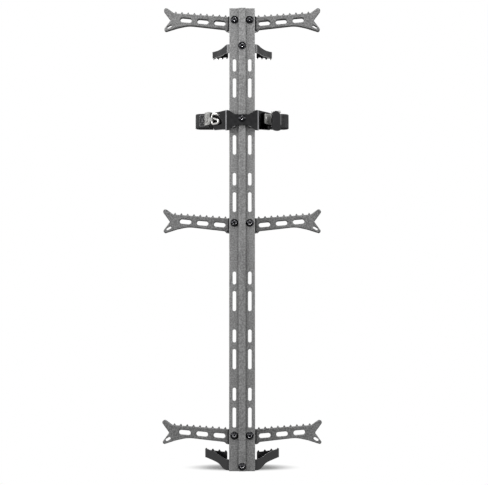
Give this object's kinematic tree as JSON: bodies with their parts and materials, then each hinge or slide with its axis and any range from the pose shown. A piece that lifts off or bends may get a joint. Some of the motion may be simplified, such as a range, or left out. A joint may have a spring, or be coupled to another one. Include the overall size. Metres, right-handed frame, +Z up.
{
  "type": "climbing stick",
  "caption": "Upright slotted aluminium climbing stick with folding toothed double steps, toothed tree standoffs and a cam-buckle strap.",
  "frame": {"origin": "on the beam's foot, in the middle of the wall of its raised front band, on the beam's centre line", "axes": "+X to the right as a climber faces the stick, +Y from the climber towards the tree, +Z up along the beam"},
  "size_m": [0.2792, 0.0795, 0.8189],
  "materials": {
    "anodised_beam": "matte grey anodised",
    "anodised_step": "matte grey anodised, bevelled edges",
    "black_powder_coat": "fine satin powder coat",
    "black_gloss_coat": "gloss powder coat",
    "black_oxide": "black oxide screw",
    "zinc_steel": "bright zinc plate",
    "nickel_plate": "nickel plate",
    "white_nylon": "natural nylon",
    "spring_steel": "drawn spring wire",
    "black_webbing": "woven polyester"
  },
  "bodies": {
    "stick": {"beam": "anodised_beam", "step_bolts": "black_oxide", "step_sleeves": "zinc_steel", "step_washers": "zinc_steel", "step_lock_nuts": "zinc_steel", "step_slip_washers": "white_nylon", "standoff_bolts": "black_oxide", "standoff_sleeves": "zinc_steel", "standoff_washers": "zinc_steel", "standoff_lock_nuts": "zinc_steel", "strap_bracket_bolt": "black_oxide", "strap_bracket_nut": "zinc_steel", "standoff_bottom": "black_powder_coat", "standoff_top": "black_powder_coat", "strap_bracket": "black_gloss_coat", "buckle_frame": "zinc_steel", "cam_pin": "zinc_steel", "cam_spring": "spring_steel", "buckle_rivet": "zinc_steel", "strap_hook": "nickel_plate", "strap_end_clamp": "zinc_steel", "clamp_rivet": "zinc_steel", "strap_webbing": "black_webbing", "step_channel_bottom": "black_powder_coat", "step_channel_middle": "black_powder_coat", "step_channel_top": "black_powder_coat"},
    "step_bottom_left_body": {"step_bottom_left": "anodised_step"},
    "step_bottom_right_body": {"step_bottom_right": "anodised_step"},
    "step_middle_left_body": {"step_middle_left": "anodised_step"},
    "step_middle_right_body": {"step_middle_right": "anodised_step"},
    "step_top_left_body": {"step_top_left": "anodised_step"},
    "step_top_right_body": {"step_top_right": "anodised_step"},
    "lever": {"cam_lever": "black_gloss_coat"}
  },
  "joints": [
    {"name": "bottom_left_fold", "type": "hinge", "parent": "stick", "child": "step_bottom_left_body", "pos_m": [-0.0135, 0.0294, 0.0611], "axis": [0, 1, 0], "range_deg": [0, 80]},
    {"name": "bottom_right_fold", "type": "hinge", "parent": "stick", "child": "step_bottom_right_body", "pos_m": [0.0135, 0.0294, 0.0611], "axis": [0, -1, 0], "range_deg": [0, 80]},
    {"name": "middle_left_fold", "type": "hinge", "parent": "stick", "child": "step_middle_left_body", "pos_m": [-0.0135, 0.0294, 0.4315], "axis": [0, 1, 0], "range_deg": [0, 80]},
    {"name": "middle_right_fold", "type": "hinge", "parent": "stick", "child": "step_middle_right_body", "pos_m": [0.0135, 0.0294, 0.4315], "axis": [0, -1, 0], "range_deg": [0, 80]},
    {"name": "top_left_fold", "type": "hinge", "parent": "stick", "child": "step_top_left_body", "pos_m": [-0.0135, 0.0294, 0.7926], "axis": [0, 1, 0], "range_deg": [0, 80]},
    {"name": "top_right_fold", "type": "hinge", "parent": "stick", "child": "step_top_right_body", "pos_m": [0.0135, 0.0294, 0.7926], "axis": [0, -1, 0], "range_deg": [0, 80]},
    {"name": "lever_release", "type": "hinge", "parent": "stick", "child": "lever", "pos_m": [0.06551, 0.02318, 0.6171], "axis": [0, 0, 1], "range_deg": [0, 70], "stiffness_Nm_per_rad": 0.02, "springref_deg": -20.05}
  ]
}
